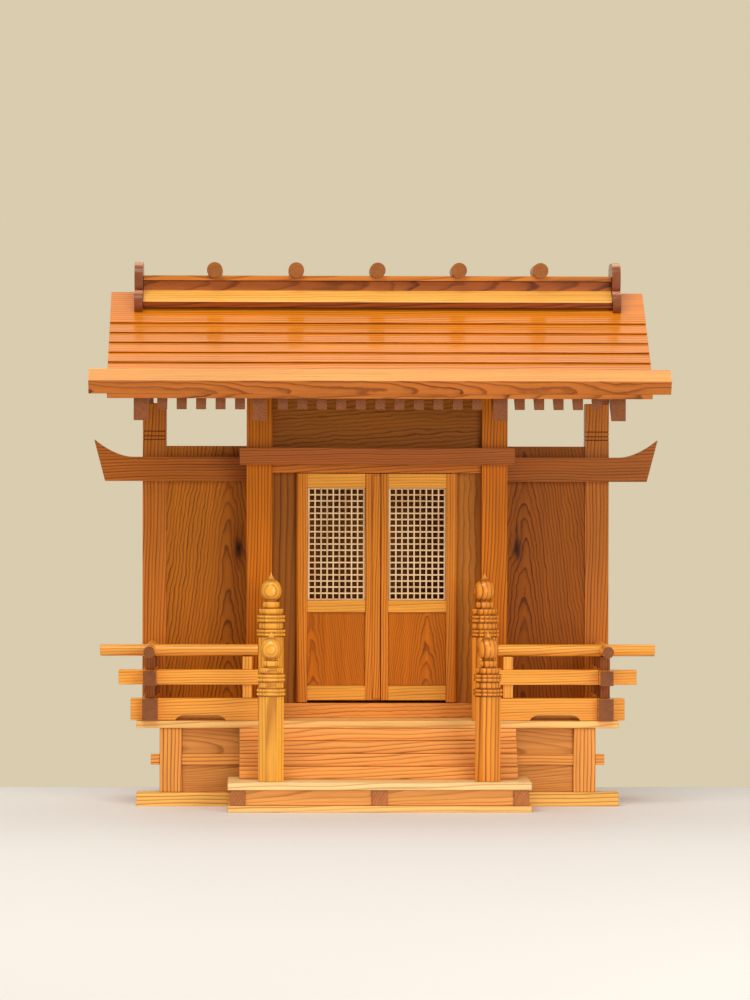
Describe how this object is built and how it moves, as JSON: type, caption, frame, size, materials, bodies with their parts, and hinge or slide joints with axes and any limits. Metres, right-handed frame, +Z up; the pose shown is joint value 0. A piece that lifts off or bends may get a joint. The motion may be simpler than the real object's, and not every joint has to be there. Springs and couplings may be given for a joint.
{
  "type": "household shinto shrine",
  "caption": "Wooden household shrine with a gabled roof, ridge logs, lattice double doors, railed deck, side screens and front steps.",
  "frame": {"origin": "middle of the footprint, on the surface that the shrine stands on", "axes": "+X to the viewer's right when facing the doors, +Y towards the back wall, +Z up; the doors face -Y"},
  "size_m": [0.62, 0.295, 0.589],
  "materials": {
    "pale_board": "satin varnish",
    "orange_board": "gloss varnish",
    "gold_board": "satin varnish",
    "brown_board": "satin varnish",
    "red_brown_board": "satin varnish",
    "dark_board": "satin varnish",
    "lattice_wood": "bare, smooth"
  },
  "bodies": {
    "shrine": {"ground_sill": "pale_board", "base_framing": "orange_board", "base_panel_front": "orange_board", "base_panel_back": "orange_board", "base_panel_left": "orange_board", "base_panel_right": "orange_board", "deck": "pale_board", "platform_bottom": "pale_board", "platform_core": "red_brown_board", "platform_top": "pale_board", "stair_step_1": "orange_board", "stair_step_2": "orange_board", "stair_step_3": "orange_board", "stair_step_4": "orange_board", "finial_post_front_left": "gold_board", "finial_post_front_right": "gold_board", "finial_post_back_left": "gold_board", "finial_post_back_right": "gold_board", "rail_bottom_left": "gold_board", "rail_bottom_right": "gold_board", "rail_middle_left": "gold_board", "rail_middle_right": "gold_board", "rail_top_left": "gold_board", "rail_top_right": "gold_board", "hall_post_left": "brown_board", "hall_post_right": "brown_board", "side_wall_left": "brown_board", "side_wall_right": "brown_board", "back_wall": "brown_board", "door_sill": "orange_board", "lintel": "orange_board", "head_beam": "brown_board", "transom_panel": "dark_board", "front_panel_left": "dark_board", "front_panel_right": "dark_board", "screen_post_left": "brown_board", "screen_post_right": "brown_board", "screen_panel_left": "brown_board", "screen_panel_right": "brown_board", "screen_cap_left": "brown_board", "screen_cap_right": "brown_board", "roof_front": "red_brown_board", "roof_back": "red_brown_board", "eave_front": "pale_board", "eave_back": "pale_board", "shingles_front": "orange_board", "shingles_back": "orange_board", "ridge_body": "brown_board", "ridge_cap": "gold_board", "ridge_end_left": "red_brown_board", "ridge_end_right": "red_brown_board"},
    "door_left": {"door_left_frame": "gold_board", "door_left_lattice": "lattice_wood", "door_left_panel": "brown_board"},
    "door_right": {"door_right_frame": "gold_board", "door_right_lattice": "lattice_wood", "door_right_panel": "brown_board"}
  },
  "joints": [
    {"name": "door_left_hinge", "type": "hinge", "parent": "shrine", "child": "door_left", "pos_m": [-0.0834, 0.015, 0.1108], "axis": [0, 0, -1], "range_deg": [0, 90]},
    {"name": "door_right_hinge", "type": "hinge", "parent": "shrine", "child": "door_right", "pos_m": [0.0834, 0.015, 0.1108], "axis": [0, 0, 1], "range_deg": [0, 90]}
  ]
}
